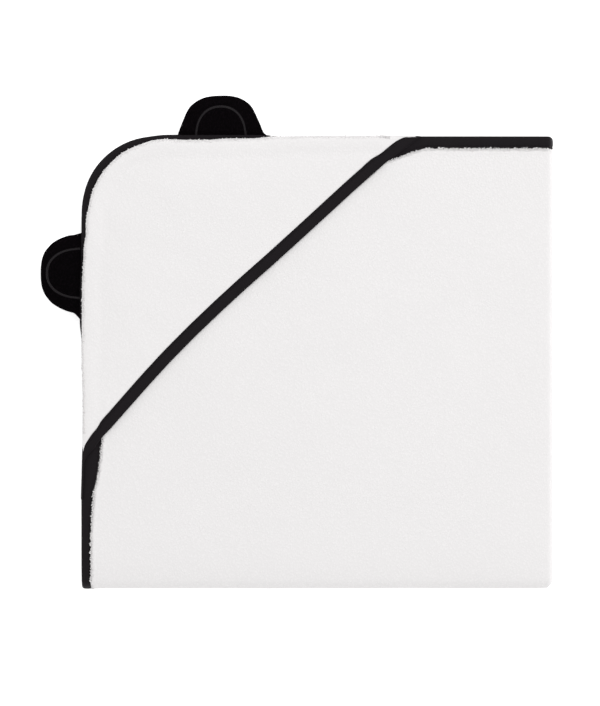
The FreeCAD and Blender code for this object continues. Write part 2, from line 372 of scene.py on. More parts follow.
# ---- one stitch and one loop, modelled once and copied -------------------------------
def taken_apart(piece):
    """The points and faces of a modelled shape, which is then removed."""
    points = np.array([v.co for v in piece.data.vertices])
    faces = [list(f.vertices) for f in piece.data.polygons]
    bpy.data.objects.remove(piece)
    return points, faces


def start_shape():
    """Deselects everything, so that operators act only on what comes next."""
    bpy.ops.object.select_all(action="DESELECT")


def pick(test):
    """In edit mode, selects the vertices whose place passes the test."""
    mesh = bmesh.from_edit_mesh(bpy.context.edit_object.data)
    for v in mesh.verts:
        v.select = bool(test(v.co))
    mesh.select_flush_mode()
    bmesh.update_edit_mesh(bpy.context.edit_object.data)


def model_stitch(size, thick):
    """One stitch of thread along X: round in the middle, its ends drawn down."""
    start_shape()
    bpy.ops.mesh.primitive_cylinder_add(
        vertices=6, radius=thick / 2, depth=size * 0.5, rotation=(0, math.pi / 2, 0),
        end_fill_type="NGON", enter_editmode=True)
    for side in (-1, 1):
        for run, shrink, drop in ((0.14, 0.92, 0.10), (0.08, 0.6, 0.42)):
            mesh = bmesh.from_edit_mesh(bpy.context.edit_object.data)
            far = max(side * (bpy.context.edit_object.matrix_world @ v.co).x for v in mesh.verts)
            turn = bpy.context.edit_object.matrix_world.copy()
            pick(lambda co: side * (turn @ co).x > far - 1e-6)
            bpy.ops.mesh.extrude_region_move(
                TRANSFORM_OT_translate={"value": (side * run * size, 0, -drop * thick)})
            bpy.ops.transform.resize(value=(1, shrink, shrink))
    bpy.ops.object.mode_set(mode="OBJECT")
    bpy.ops.object.transform_apply(location=True, rotation=True, scale=True)
    return taken_apart(bpy.context.active_object)


def turned_over(shape, face):
    """A shape for the upper face as it is, or for the underside turned over."""
    points, faces = shape
    return points * (1, 1, face), [corners[::face] for corners in faces]


def model_loop(height, thick):
    """One terry loop: half a ring of yarn standing on the cloth, open side down."""
    start_shape()
    bpy.ops.mesh.primitive_torus_add(
        major_segments=12, minor_segments=4, major_radius=0.3 * height, minor_radius=thick / 2,
        rotation=(math.pi / 2, 0, 0))
    bpy.ops.object.transform_apply(location=True, rotation=True, scale=True)
    bpy.ops.object.mode_set(mode="EDIT")
    bpy.ops.mesh.select_all(action="SELECT")
    bpy.ops.mesh.bisect(
        plane_co=(0, 0, -0.05 * height), plane_no=(0, 0, 1), clear_inner=True, use_fill=True)
    bpy.ops.mesh.select_all(action="SELECT")
    bpy.ops.transform.resize(value=(1, 1, 2.4))
    bpy.ops.object.mode_set(mode="OBJECT")
    return taken_apart(bpy.context.active_object)


def copies(name, shape, where, along, lift, turn, place, lean=0.0, size=1.0, follow=None):
    """Copies of a shape on a surface, joined in one piece.

    where is the place of each on the flat cloth, along its heading there, lift its
    height, turn a further turn about its own upright, and lean how far it tips to the
    left of its heading. place puts a point and a height on the cloth, and follow gives
    how far a point moves with the second of two bodies.
    """
    points, faces = shape
    count = len(where)
    size = np.broadcast_to(size, count)[:, None]
    c, d = np.cos(turn), np.sin(turn)
    a = (points[:, 0] * c[:, None] - points[:, 1] * d[:, None]) * size
    b = (points[:, 0] * d[:, None] + points[:, 1] * c[:, None]) * size
    up = points[:, 2] * size
    lean = np.broadcast_to(lean, count)[:, None]
    b, up = b * np.cos(lean) + up * np.sin(lean), up * np.cos(lean) - b * np.sin(lean)
    left = np.stack([-along[:, 1], along[:, 0]], 1)
    flat = where[:, None, :] + a[..., None] * along[:, None, :] + b[..., None] * left[:, None, :]
    height = lift[:, None] + up
    vertices = place(flat[..., 0], flat[..., 1], height)
    every = [[i + k * len(points) for i in f] for k in range(count) for f in faces]
    return make_mesh(
        name, vertices, every, follow=follow and follow(flat[..., 0], flat[..., 1]))


def joined(name, pieces):
    """One piece made of several, by joining their meshes."""
    start_shape()
    for piece in pieces:
        piece.select_set(True)
    bpy.context.view_layer.objects.active = pieces[0]
    if len(pieces) > 1:
        bpy.ops.object.join()
    whole = bpy.context.view_layer.objects.active
    whole.name = whole.data.name = name
    return whole


def follow_fold(piece):
    """Bends finished copies across the front fold, as far as each point says."""
    layer = piece.data.attributes["follow"]
    opening = np.zeros(len(piece.data.vertices), np.float32)
    layer.data.foreach_get("value", opening)
    piece.data.attributes.remove(layer)
    blend_over_fold(piece, opening)


def spaced(line, gap):
    """Places every gap along a line of points, and the line's heading at each."""
    at = travel(line)
    count = max(2, int(round(at[-1] / gap)))
    middle = (np.arange(count) + 0.5) * at[-1] / count

    def between(step):
        return np.stack([np.interp(middle + step, at, line[:, k]) for k in (0, 1)], 1)

    where = between(0.0)
    heading = between(0.3 * gap) - between(-0.3 * gap)
    return where, heading / np.linalg.norm(heading, axis=1)[:, None]


# ---- materials -----------------------------------------------------------------------
def node(tree, kind, inputs=None, **settings):
    """A shader node, whose inputs are values to set or outputs to link."""
    made = tree.nodes.new(kind)
    for key, value in settings.items():
        setattr(made, key, value)
    for key, value in (inputs or {}).items():
        if isinstance(value, bpy.types.NodeSocket):
            tree.links.new(value, made.inputs[key])
        else:
            made.inputs[key].default_value = value
    return made


def maths(tree, operation, *inputs):
    """The output of a Math node with the inputs given, in order."""
    made = node(tree, "ShaderNodeMath", dict(enumerate(inputs)), operation=operation)
    return made.outputs[0]


def new_group(name, inputs):
    """A node group with the inputs given, that puts out a height and a colour."""
    tree = bpy.data.node_groups.new(name, "ShaderNodeTree")
    for label, value in inputs.items():
        kind = "NodeSocketColor" if isinstance(value, tuple) else "NodeSocketFloat"
        socket = tree.interface.new_socket(label, in_out="INPUT", socket_type=kind)
        socket.default_value = value
    for label, kind in (("Height", "NodeSocketFloat"), ("Colour", "NodeSocketColor")):
        tree.interface.new_socket(label, in_out="OUTPUT", socket_type=kind)
    return tree, tree.nodes.new("NodeGroupInput").outputs


def put_out(tree, height, colour_in, painted_shade_and_tone):
    """Ends a group: its height, and its colour darkened or lightened by the painted shade and tone that the
    group works out.
    """
    tint = node(tree, "ShaderNodeVectorMath", {0: colour_in, "Scale": painted_shade_and_tone}, operation="SCALE")
    node(tree, "NodeGroupOutput", {"Height": height, "Colour": tint.outputs[0]})
    return tree


def pile_group():
    """Looped or cut pile: lumps of loops, finer tufts on them, and a colour darkened where the pile is lower
    (painted shade between the loops and tufts) and in broad random patches (the cloth's own uneven tone).
    """
    found = bpy.data.node_groups.get("Pile")
    if found:
        return found
    tree, given = new_group(
        "Pile",
        {"Scale": 600.0, "Tuft Scale": 2200.0, "Shade": 0.1, "Colour": (1.0, 1.0, 1.0, 1.0)})
    place = node(tree, "ShaderNodeTexCoord").outputs["Object"]
    # The loops' cells are drawn out of line, so that they never sit in rows.
    drift = node(tree, "ShaderNodeTexNoise", {"Vector": place, "Scale": 160.0, "Detail": 2.0})
    shift = node(
        tree, "ShaderNodeVectorMath",
        {0: drift.outputs["Color"], 1: (0.0016, 0.0016, 0.0016), 2: place},
        operation="MULTIPLY_ADD")
    loops = node(
        tree, "ShaderNodeTexVoronoi",
        {"Vector": shift.outputs[0], "Scale": given["Scale"], "Smoothness": 0.6},
        feature="SMOOTH_F1")
    tufts = node(
        tree, "ShaderNodeTexNoise",
        {"Vector": place, "Scale": given["Tuft Scale"], "Detail": 3.0, "Roughness": 0.65})
    rise = maths(tree, "SUBTRACT", 1.0, loops.outputs["Distance"])
    height = maths(tree, "MULTIPLY_ADD", tufts.outputs["Fac"], 0.45, rise)
    # Painted shade: the lower the pile, the darker its colour, as if shaded between the loops; the broad
    # noise patches add the cloth's own uneven tone, and Shade sets how strong both are.
    depth = node(tree, "ShaderNodeMapRange", {"Value": height, "From Min": 0.75, "From Max": 1.2})
    patch = node(tree, "ShaderNodeTexNoise", {"Vector": place, "Scale": 14.0, "Detail": 3.0})
    level = maths(tree, "MULTIPLY_ADD", patch.outputs["Fac"], 0.35, depth.outputs[0])
    painted_shade_and_tone_loss = maths(tree, "MULTIPLY", maths(tree, "SUBTRACT", 1.2, level), given["Shade"])
    return put_out(tree, height, given["Colour"], maths(tree, "SUBTRACT", 1.0, painted_shade_and_tone_loss))


def weave_group():
    """Plain woven tape in its own UV, which is in metres along and across the tape."""
    found = bpy.data.node_groups.get("Weave")
    if found:
        return found
    tree, given = new_group(
        "Weave",
        {"Threads": 2600.0, "Slant": 0.78, "Shade": 0.35, "Colour": (1.0, 1.0, 1.0, 1.0)})
    place = node(tree, "ShaderNodeUVMap", uv_map="cloth").outputs["UV"]
    turn = node(
        tree, "ShaderNodeVectorRotate", {"Vector": place, "Angle": given["Slant"]},
        rotation_type="Z_AXIS")
    scaled = node(
        tree, "ShaderNodeVectorMath", {0: turn.outputs[0], "Scale": given["Threads"]},
        operation="SCALE")
    warp, weft = (
        node(tree, "ShaderNodeTexWave",
             {"Vector": scaled.outputs[0], "Scale": 0.5, "Distortion": 0.6},
             wave_type="BANDS", bands_direction=axis).outputs["Fac"] for axis in "XY")
    cross = maths(tree, "MULTIPLY", warp, weft)
    wear = node(tree, "ShaderNodeTexNoise", {"Vector": place, "Scale": 90.0, "Detail": 4.0})
    # Painted shade: the tape is lighter where warp and weft cross high and darker between the threads, with
    # the random wear in tone on top; Shade sets how strong it is.
    level = maths(tree, "MULTIPLY_ADD", cross, 1.1, wear.outputs["Fac"])
    painted_shade_and_tone = maths(tree, "MULTIPLY_ADD", level, given["Shade"], 0.75)
    return put_out(tree, cross, given["Colour"], painted_shade_and_tone)


def pile(scale, tuft_scale, painted_shade_and_tone):
    """The pile group and its values in one finish."""
    return pile_group, {"Scale": scale, "Tuft Scale": tuft_scale, "Shade": painted_shade_and_tone}


# Each finish: its group and the group's values, roughness, sheen and its tint, how deep
# the surface is, and specular level.
# A group's Shade value sets how far it darkens the colour: painted shade in the hollows of the pile or
# weave, mixed with the cloth's own uneven tone.
FINISHES = {
    "white terry": (pile(620.0, 2400.0, 0.06), 0.95, 0.15, (1.0, 1.0, 1.0), 0.22 * MM, 0.1),
    "black woven tape": (
        (weave_group, {"Threads": 2600.0, "Slant": 0.78, "Shade": 0.40}),
        0.62, 0.04, (0.9, 0.8, 0.86), 0.06 * MM, 0.12),
    "black velour": (pile(900.0, 3200.0, 0.8), 0.9, 0.012, (0.8, 0.65, 0.8), 0.12 * MM, 0.03),
    "satin stitch": (pile(2200.0, 5200.0, 0.3), 0.55, 0.04, (0.9, 0.85, 0.9), 0.08 * MM, 0.2),
    "fibre wadding": (pile(480.0, 3000.0, 0.25), 0.95, 0.2, (1.0, 1.0, 1.0), 0.4 * MM, 0.05),
    "black thread": (pile(2600.0, 6000.0, 0.3), 0.5, 0.03, (1.0, 1.0, 1.0), 0.05 * MM, 0.15),
    "white thread": (pile(2600.0, 6000.0, 0.3), 0.5, 0.03, (1.0, 1.0, 1.0), 0.05 * MM, 0.15),
}


def finish(name, base):
    """A cloth finish: the group gives the colour and height, the shader the gloss."""
    found = bpy.data.materials.get(name)
    if found:
        return found
    (group, values), roughness, sheen, sheen_tint, deep, specular = FINISHES[name]
    material = bpy.data.materials.new(name)
    material.use_nodes = True
    tree = material.node_tree
    shader = tree.nodes["Principled BSDF"]
    made = node(tree, "ShaderNodeGroup", node_tree=group())
    for label, value in (*values.items(), ("Colour", (*base, 1.0))):
        made.inputs[label].default_value = value
    raised = node(
        tree, "ShaderNodeBump",
        {"Strength": 1.0, "Distance": deep, "Height": made.outputs["Height"]})
    for label, value in (
            ("Roughness", roughness), ("Specular IOR Level", specular), ("Sheen Weight", sheen),
            ("Sheen Roughness", 0.5), ("Sheen Tint", (*sheen_tint, 1.0))):
        shader.inputs[label].default_value = value
    tree.links.new(made.outputs["Colour"], shader.inputs["Base Color"])
    tree.links.new(raised.outputs["Normal"], shader.inputs["Normal"])
    return material


# ---- the terry towel -----------------------------------------------------------------
class TOWEL_OT_terry(bpy.types.Operator):
    """Folds the square terry cloth into quarters"""

    bl_idname = "towel.terry"
    bl_label = "Terry Cloth"

    def execute(self, context):
        sizes = context.scene.towel_sizes
        cloth = FoldedCloth(sizes)
        w, h = cloth.half_width, cloth.half_length
        rim = sizes.tape_width

        def lines(size, turn, steps):
            near, past = size - rim - 5 * MM, size - rim + 1.5 * MM
            return mix_lines(
                (0, turn, 9), (turn, 4 * turn, 7), (4 * turn, near, steps), (near, past, 8),
                (past, size - sizes.tape, 4))

        t_top = lines(h, cloth.front_half, 120)
        t_low = lines(h, cloth.front_half, 36)
        s_top = lines(w, cloth.side_half, 124)
        s_low = lines(w, cloth.side_half, 36)
        t = np.concatenate([-t_low[::-1], t_top[1:]])
        s = np.concatenate([-s_top[::-1], s_low[1:]])
        t, s = np.meshgrid(t, s, indexing="ij")
        s, t = cloth.rounded(*cloth.follow_tape(s, t))
        inside = cloth.edge_distance(s, t)

        def half(reach):
            pile = ease(inside, reach - 1.2 * MM, reach + 1.6 * MM)
            lumps = 0.08 * MM * waves(s, t, 6 * MM, 5.0) * pile
            shoulder = 0.25 * MM * bump(inside, reach + 2.4 * MM, 1.6 * MM)
            return TERRY / 2 - sizes.tape * (1 - pile) + shoulder, lumps

        face, lumps = half(cloth.tape_reach(s, t))
        outer = cloth.place(s, t, face + lumps)
        inner = cloth.place(s, t, -np.minimum(half(rim)[0], TERRY / 2))
        uv = np.stack([s, t], -1)
        piece = make_mesh(
            "terry_cloth", np.stack([outer, inner]), sheet_faces(*s.shape), np.stack([uv, uv]))
        opening = cloth.opening(t)
        blend_over_fold(piece, np.stack([opening, opening]))
        piece.data.materials.append(finish("white terry", context.scene.towel_colours.terry))
        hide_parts("towel_lower", "towel_upper")
        return {"FINISHED"}


# ---- the binding on the towel's edge -------------------------------------------------
def edge_stations(cloth, fine, coarse):
    """Places round the towel's edge as (s, t) of the edge and the inward direction.

    The quarter that lies on top gets fine steps, the others coarse ones.
    """
    w, h, r = cloth.half_width, cloth.half_length, cloth.radius
    points = []
    for sign_s, sign_t, back in ((-1, 1, False), (1, 1, True), (1, -1, False), (-1, -1, True)):
        step = fine if (sign_s, sign_t) == (-1, 1) else coarse
        turn = step if step == fine else 0.4 * step
        quarter = []
        for v in mix_lines((0, 2 * cloth.front_half, max(8, int(14 * MM / turn))),
                           (2 * cloth.front_half, h - r, int((h - r) / step)))[:-1]:
            quarter.append((w, v, -1.0, 0.0))
        for a in np.linspace(0, math.pi / 2, int(1.57 * r / turn))[:-1]:
            c, d = math.cos(a), math.sin(a)
            quarter.append((w - r + r * c, h - r + r * d, -c, -d))
        for v in mix_lines((w - r, 2 * cloth.side_half, int((w - r) / step)),
                           (2 * cloth.side_half, 0, max(8, int(7 * MM / turn)))):
            quarter.append((v, h, 0.0, -1.0))
        quarter = [(a * sign_s, b * sign_t, c * sign_s, d * sign_t) for a, b, c, d in quarter]
        if back:
            quarter.reverse()
        points += quarter if not points else quarter[1:]
    points = np.array(points[:-1])
    return points[:, :2], points[:, 2:], travel(points[:, :2])


def tape_section(width, half, tape, seam):
    """Cross-section of folded tape as (inset, height) pairs, outside then inside.

    half is half the thickness that the tape closes on, and seam the stitches' inset
    from the edge, where the thread pulls the tape in a little.
    """
    out = half + tape
    crown = 0.30 * MM
    top = [
        (width, half + 0.05 * MM),
        (width + 0.05 * MM, half + 0.6 * tape),
        (width - 0.25 * MM, out),
        (width - 0.7 * MM, out + 0.5 * crown),
        (seam + 0.5 * MM, out - 0.2 * crown),
        (seam, out - 1.0 * crown),
        (seam - 0.5 * MM, out - 0.2 * crown),
        (seam - 1.6 * MM, out + 0.8 * crown),
        (0.45 * width, out + crown),
        (0.25 * width, out + 0.8 * crown),
        (1.1 * MM, out - 0.1 * MM),
        (0.35 * MM, 0.75 * out),
        (0.0, 0.35 * out),
    ]
    outside = top + [(d, -n) for d, n in reversed(top)]
    inner = [
        (width - 0.4 * MM, half),
        (0.5 * width, half),
        (tape + 0.8 * MM, half - 0.05 * MM),
        (tape + 0.1 * MM, 0.5 * half),
    ]
    inside = inner + [(d, -n) for d, n in reversed(inner)]
    return outside + inside[::-1]


def pulled_in(d, n, travelled, seam, stitch, depth, face):
    """Heights of the tape's faces, where each stitch pulls the tape in at its ends."""
    pucker = 0.5 + 0.5 * np.cos(2 * math.pi * travelled / stitch)[:, None]
    pulled = depth * bump(d, seam, 1.3 * MM) * pucker
    return n - np.sign(n) * np.where(np.abs(n) > face, pulled, 0)


class TOWEL_OT_edge_binding(bpy.types.Operator):
    """Folds the black tape over the towel's edge, all the way round"""

    bl_idname = "towel.edge_binding"
    bl_label = "Edge Binding"

    def execute(self, context):
        sizes = context.scene.towel_sizes
        cloth = FoldedCloth(sizes)
        edge, inward, travelled = edge_stations(cloth, 0.75 * MM, 3 * MM)
        width = sizes.tape_width
        seam = width - sizes.seam_inset
        section = np.array(tape_section(width, TERRY / 2 - sizes.tape, sizes.tape, seam))
        d, n = section[None, :, 0], section[None, :, 1]
        face = TERRY / 2 - 0.5 * sizes.tape
        n = pulled_in(d, n, travelled, seam, sizes.stitch, 0.22 * MM, face)
        # The width wanders a little.
        wander = 0.30 * MM * waves(travelled, travelled * 0, 22 * MM, 6.0)[:, None]
        near = edge + inward * MM
        reach = cloth.tape_reach(near[:, :1], near[:, 1:])
        d = d * (1 + (wander + np.where(n > 0, reach - width, 0)) / width)
        s = edge[:, :1] + inward[:, :1] * d
        t = edge[:, 1:] + inward[:, 1:] * d
        vertices = cloth.place(s, t, n)
        along = np.broadcast_to(travelled[:, None], s.shape)
        around = np.broadcast_to(travel(section)[None, :], s.shape)
        piece = make_mesh(
            "edge_tape", vertices, grid_quads(*s.shape, 0, True, True),
            np.stack([along, around], -1))
        blend_over_fold(piece, cloth.opening(t))
        piece.data.materials.append(
            finish("black woven tape", context.scene.towel_colours.tape))
        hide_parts("edge_binding_lower", "edge_binding_upper")
        return {"FINISHED"}


class TOWEL_OT_edge_stitching(bpy.types.Operator):
    """Sews the tape to the towel near the tape's inner edge, on both faces"""

    bl_idname = "towel.edge_stitching"
    bl_label = "Edge Stitching"

    def execute(self, context):
        sizes = context.scene.towel_sizes
        cloth = FoldedCloth(sizes)
        edge, inward, travelled = edge_stations(cloth, 1.5 * MM, 3 * MM)
        shape = model_stitch(STITCH_SHARE * sizes.stitch, THREAD)
        rows = []
        for face in (1, -1):
            reach = np.full(len(edge), sizes.tape_width)
            if face > 0:
                reach = cloth.tape_reach(*(edge + inward * MM).T)
            line = edge + inward * (reach - sizes.seam_inset)[:, None]
            line = np.concatenate([line, line[:1]])
            where, heading = spaced(line, sizes.stitch)
            lift = np.full(len(where), face * (TERRY / 2 - SUNK))
            rows.append(copies(
                "seam", turned_over(shape, face), where, heading, lift,
                np.zeros(len(where)), cloth.place, follow=lambda s, t: cloth.opening(t)))
        piece = joined("edge_seam", rows)
        follow_fold(piece)
        piece.data.materials.append(
            finish("black thread", context.scene.towel_colours.thread))
        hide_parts("edge_stitching_lower", "edge_stitching_upper")
        return {"FINISHED"}


class TOWEL_OT_edge_loops(bpy.types.Operator):
    """Adds the terry loops that stand over the tape's inner edge on the upper face"""

    bl_idname = "towel.edge_loops"
    bl_label = "Edge Loops"

    def execute(self, context):
        sizes = context.scene.towel_sizes
        cloth = FoldedCloth(sizes)
        shape = model_loop(sizes.loop, YARN)
        draw = np.random.default_rng(11)
        legs = []
        x = np.arange(232, 381, 0.8) * MM
        reach = width_along(BACK_TAPE, x)
        legs.append(np.stack([x - cloth.half_width, cloth.half_length - reach], 1))
        y = np.arange(232, 366, 0.8) * MM
        reach = width_along(LEFT_TAPE, y)
        legs.append(np.stack([reach - cloth.half_width, cloth.half_length - y], 1)[::-1])
        rows = []
        for line in legs:
            for into, gap in ((-0.1, 0.8), (-0.9, 0.85), (-1.7, 0.95)):
                where, heading = spaced(line, gap * MM)
                count = len(where)
                right = np.stack([heading[:, 1], -heading[:, 0]], 1)
                patch = 0.5 * waves(where[:, 0], where[:, 1], 7 * MM, 3.0)
                off = draw.uniform(-0.5, 0.5, count) + into - patch
                ahead = heading * draw.uniform(-0.3, 0.3, (count, 1)) * MM
                where = where - right * off[:, None] * MM + ahead
                rows.append(copies(
                    "loops", shape, where, heading, np.full(count, TERRY / 2 - 0.15 * MM),
                    draw.uniform(0, math.pi, count), cloth.place,
                    draw.uniform(0.1, 1.25, count), draw.uniform(0.7, 1.15, count),
                    follow=lambda s, t: cloth.opening(t)))
        piece = joined("towel_loops", rows)
        follow_fold(piece)
        piece.data.materials.append(finish("white terry", context.scene.towel_colours.terry))
        return {"FINISHED"}


# ---- the hood ------------------------------------------------------------------------
# Share of the bow along the hood's free edge, in mm from its middle.
BOW = ([-185, -170, -155, -129, -103, -76, -48, -20, 8, 38, 67, 96, 125, 154, 175, 194],
       [0.0, 0.13, 0.26, 0.50, 0.72, 0.90, 0.99, 1.0, 0.94, 0.81, 0.73, 0.67, 0.61, 0.49,
        0.27, 0.0])
HOOD_FLOOR = 0.15 * MM      # air between the towel's top layer and the hood
TAPE_RISE = 0.12 * MM       # how much higher the tape lies than the hood's own middle
TAIL_THIN = 0.62            # how much thinner the tape is at the end of its tails
# How far the hood's outer edge lies inside the towel's, against the distance from the
# corner, both in mm: down the left side, and along the back.
INSET_LEFT = (
    [0, 22, 45, 53, 64, 77, 82, 91, 99, 108, 120, 150, 160, 172, 195, 225, 240, 250, 265],
    [3.9, 4.1, 4.5, 4.8, 4.1, 4.0, 3.0, 2.1, 1.9, 1.7, 1.9, 1.8, 0.9, 0.1, -0.1, -0.4, -0.2,
     0.3, 3.5])
INSET_BACK = (
    [0, 17, 30, 41, 53, 60, 68, 80, 100, 113, 121, 129, 138, 146, 152, 158, 175, 260],
    [3.9, 3.5, 3.5, 3.6, 3.0, 3.4, 3.7, 4.1, 4.0, 3.1, 2.9, 3.1, 2.9, 2.2, 1.0, 0.4, 0.0,
     -0.4])


def turn_down(edge):
    """Rise of the hood's tape, which turns down round the towel's edge at its ends.

    edge is how far a place lies inside the towel's edge.
    """
    over = np.clip((1.6 * MM - edge) / (2.4 * MM), 0, 1)
    return 3.4 * MM * over ** 2


# The two ends of the hood's binding, in mm along the back or the left side and in from
# it. Each row is a place on its free edge, then the place across from it.
BACK_TAIL = ((247.8, 20.4, 242.5, 14.1), (253.5, 16.5, 248.0, 9.5), (259.5, 12.0, 252.5, 5.9),
             (265.5, 7.6, 257.0, 3.0), (271.0, 3.6, 263.0, 0.6), (275.5, 0.2, 269.5, -0.5))
LEFT_TAIL = ((242.9, 17.0, 236.3, 11.8), (247.9, 13.2, 241.5, 7.6), (252.9, 10.0, 246.7, 4.2),
             (257.4, 5.6, 251.2, 2.0), (262.4, 2.8, 257.5, 0.9), (271.4, 2.3, 268.0, 0.4),
             (281.0, 1.9, 279.0, 0.0), (295.0, 1.0, 293.5, -0.4))


def binding_rows(hood, tape):
    """Places along the hood's free edge, the places across the tape, and the taper.

    Places are measured in from the towel's left and back edges.
    """
    left = np.array([(b, a, d, c) for a, b, c, d in LEFT_TAIL[::-1]]) * MM
    back = np.array(BACK_TAIL) * MM

    def middle(l):
        q = hood.free(l)
        slope = np.gradient(q, l)
        length = np.hypot(1, slope)
        free = hood.plan(l, q)
        inner = hood.plan(l + slope / length * tape, q - tape / length)
        rows = np.concatenate([free, inner], 1)
        rows[:, 0::2] -= X_LEFT
        rows[:, 1::2] = Y_BACK - rows[:, 1::2]
        return rows

    def along(row):
        return (row[0] - row[1]) / ROOT_2

    first, last = along(left[-1]) + 9 * MM, along(back[0]) - 9 * MM
    l = np.linspace(first, last, 30)
    ends = np.concatenate([left, middle(l), back])
    at = travel(ends[:, :2])
    fine = np.linspace(0, at[-1], 640)
    rows = np.stack([smooth_through(at, ends[:, k], fine) for k in range(4)], 1)
    taper = 1 - ease(fine, at[1], at[len(left)]) * (1 - ease(fine, at[-len(back) - 1], at[-2]))
    return rows[:, :2], rows[:, 2:], taper


class HoodPlan:
    """The hood in plan: l runs along its free edge, q from the sharp corner across it."""

    def __init__(self, sizes):
        self.corner = np.array([X_LEFT, Y_BACK])
        self.along = np.array([1, 1]) / ROOT_2
        self.out = np.array([1, -1]) / ROOT_2
        # The free edge's ends lie a little outside the tape's own box.
        self.top = (HOOD_TAPE[1].x - X_LEFT + 1.3 * MM) * math.sqrt(0.5)
        self.left = (Y_BACK - HOOD_TAPE[0].y + 1.2 * MM) * math.sqrt(0.5)
        self.bow = sizes.hood_bow
        self.radius = sizes.hood_corner
        self.sizes = sizes
        free, across, taper = binding_rows(self, sizes.hood_tape)
        self.rows = free, across, taper
        x, y = X_LEFT + across[:, 0], Y_BACK - across[:, 1]
        self.inner_l, self.inner_q = self.coordinates(x, y)
        self.inner_taper = taper
        # The terry ends where the tape's inner edge meets the hood's outer edge.
        spare = self.inner_q + 2 * MM - self.outer(self.inner_l)
        self.first, self.last = self.inner_l[spare > 0][[0, -1]]

    def inset(self, l):
        """How far the hood's outer edge lies inside the towel's edge."""
        d = np.abs(l) * ROOT_2 / MM
        left, top = np.interp(d, *INSET_LEFT), np.interp(d, *INSET_BACK)
        return np.where(l < 0, left, top) * MM

    def outer(self, l):
        """Depth of the hood's outer edge, by the corner's arc and the two legs."""
        inset = self.inset(l)
        leg = np.abs(l) + inset * ROOT_2
        centre = (self.radius + inset) * ROOT_2
        arc = centre - np.sqrt(np.maximum(self.radius ** 2 - l ** 2, 0))
        return np.where(np.abs(l) < self.radius / ROOT_2, arc, leg)

    def free(self, l):
        """Depth of the hood's free edge."""
        middle = (self.top - self.left) / 2
        half = (self.top + self.left) / 2
        slope = (self.top - self.left) / (self.top + self.left)
        return half + slope * (l - middle) - self.bow * np.interp(l / MM, BOW[0], BOW[1])

    def tape_edge(self, l):
        """Depth of the inner edge of the tape on the free edge, and how far it thins."""
        q = np.interp(l, self.inner_l, self.inner_q)
        return q, np.interp(l, self.inner_l, self.inner_taper)

    def plan(self, l, q):
        """The x and y of a place on the hood."""
        return self.corner + self.along * l[..., None] + self.out * q[..., None]

    def coordinates(self, x, y):
        """The l and q of a place given by its x and y."""
        p = np.stack([x - self.corner[0], y - self.corner[1]], -1)
        return p @ self.along, p @ self.out

    def edge_distance(self, l, q):
        """Distance inside the hood's outer edge."""
        inset = self.inset(l)
        x = (l + q) / ROOT_2 - inset
        y = (q - l) / ROOT_2 - inset
        r = self.radius
        around = r - np.hypot(np.maximum(r - x, 0), np.maximum(r - y, 0))
        return np.where((x < r) & (y < r), around, np.minimum(x, y))

    def lift(self, l, q):
        """Height of the hood's upper face over the towel, by its seam and padding."""
        inside = self.edge_distance(l, q)
        front = self.tape_edge(l)[0] - q
        thick = self.sizes.hood_thick
        allowance = self.sizes.allowance
        rim_ends = ease(inside, allowance - 7 * MM, allowance + 4 * MM)
        rim = 0.5 * MM * ease(inside, 0, 5 * MM) * (1 - rim_ends)
        valley = -0.30 * MM * bump(inside, allowance + 1 * MM, 4.5 * MM)
        pillow = 1.0 * MM * ease(inside, allowance, allowance + 26 * MM)
        pillow = pillow * ease(front, 4 * MM, 45 * MM)
        folds = 0.25 * MM * waves(l, q, 38 * MM, 7.0) * ease(inside, 6 * MM, 30 * MM)
        return thick + rim + valley + pillow + folds

    def rounded(self, inside, height):
        """A height drawn in towards the hood's middle where its outer edge rolls down."""
        share = np.clip(inside / (3.2 * MM), 0, 1)
        middle = 0.45 * self.sizes.hood_thick
        return middle + (height - middle) * np.sqrt(share * (2 - share))

    def tape_level(self, l, q):
        """Height of the middle of the tape on the free edge, and how far it is thinned."""
        thin = 1 - TAIL_THIN * self.tape_edge(l)[1]
        p = self.plan(l, q)
        edge = np.minimum(p[..., 0] - X_LEFT, Y_BACK - p[..., 1])
        return self.sizes.hood_thick / 2 * thin + TAPE_RISE - turn_down(edge), thin

    def inside_line(self, l, inset):
        """Depth of the line that lies inset inside the hood's outer edge."""
        low, high = self.outer(l), self.outer(l) + 6 * inset
        for _ in range(40):
            middle = (low + high) / 2
            short = self.edge_distance(l, middle) < inset
            low, high = np.where(short, middle, low), np.where(short, high, middle)
        return low

    def place(self, l, q, height):
        """Its place in the stack, at a height over the towel's upper face."""
        l, q, height = np.broadcast_arrays(l, q, height)
        xy = self.plan(l, q)
        return settle(np.concatenate([xy, (Z_TOP + HOOD_FLOOR + height)[..., None]], -1))

    def opening(self, l, q):
        """Share of the front's lift: none behind the bend line or along the sewn legs."""
        bend = np.array(HINGES["hood_open"]["pos_m"][:2])
        bend_q = float((bend - self.corner) @ self.out)
        depth = self.free(l) - bend_q
        forward = ease(q - bend_q, -6 * MM, 0.9 * depth)
        legs = ease(self.edge_distance(l, q), 2 * MM, 60 * MM)
        return forward * legs


def blend_over_bend(piece, weights):
    """Bends a piece where the hood's front lifts, by the share of each point."""
    pos = Vector(HINGES["hood_open"]["pos_m"])
    out = Vector((1, -1, 0)).normalized()
    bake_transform(piece, "upper_half", "hood_front", pos - out * MM, pos + out * MM)
    weigh(piece, weights)


def weights_near(piece, hood):
    """The hood's opening at each point of a finished mesh."""
    points = points_of(piece.data)
    l, q = hood.coordinates(points[:, 0], points[:, 1])
    return hood.opening(l, np.minimum(q, hood.free(l)))


